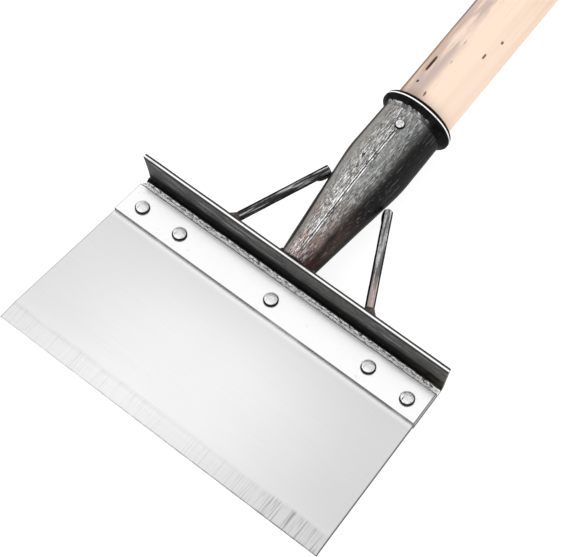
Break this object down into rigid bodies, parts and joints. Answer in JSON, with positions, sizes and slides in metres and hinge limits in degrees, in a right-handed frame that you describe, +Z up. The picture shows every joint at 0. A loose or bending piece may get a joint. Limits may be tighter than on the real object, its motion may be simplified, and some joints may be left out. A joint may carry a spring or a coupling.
{
  "type": "floor scraper",
  "caption": "Long-handled floor scraper: wide flat steel blade riveted to a folded bracket, rolled socket with round-bar braces, and a round wooden handle.",
  "frame": {"origin": "on the floor that the tool lies on, under the middle of its length", "axes": "+Y from the cutting edge towards the butt of the handle, +X across the blade, +Z up, with the rivet heads on top"},
  "size_m": [0.2, 1.2006, 0.0414],
  "materials": {
    "blade_steel": "brushed along the width, ground at the edge",
    "bright_steel": "bright rolled",
    "rivet_steel": "plain, lightly marked",
    "black_steel": "dark mill scale, worn bright on the edges",
    "socket_steel": "dark mill scale with lengthwise drag marks and heat tints",
    "weld_metal": "rough weld bead",
    "handle_wood": "sanded bare wood with stains"
  },
  "bodies": {
    "root": {"blade": "blade_steel", "clamp_strip": "bright_steel", "bracket": "black_steel", "rivet_1": "rivet_steel", "rivet_2": "rivet_steel", "rivet_3": "rivet_steel", "rivet_4": "rivet_steel", "rivet_5": "rivet_steel", "socket": "socket_steel", "mouth_ring": "black_steel", "seam_weld": "weld_metal", "foot_weld": "weld_metal", "brace_left": "socket_steel", "brace_right": "socket_steel", "upper_weld_left": "weld_metal", "upper_weld_right": "weld_metal", "lower_weld_left": "weld_metal", "lower_weld_right": "weld_metal", "handle": "handle_wood", "handle_screw": "rivet_steel"}
  },
  "joints": []
}
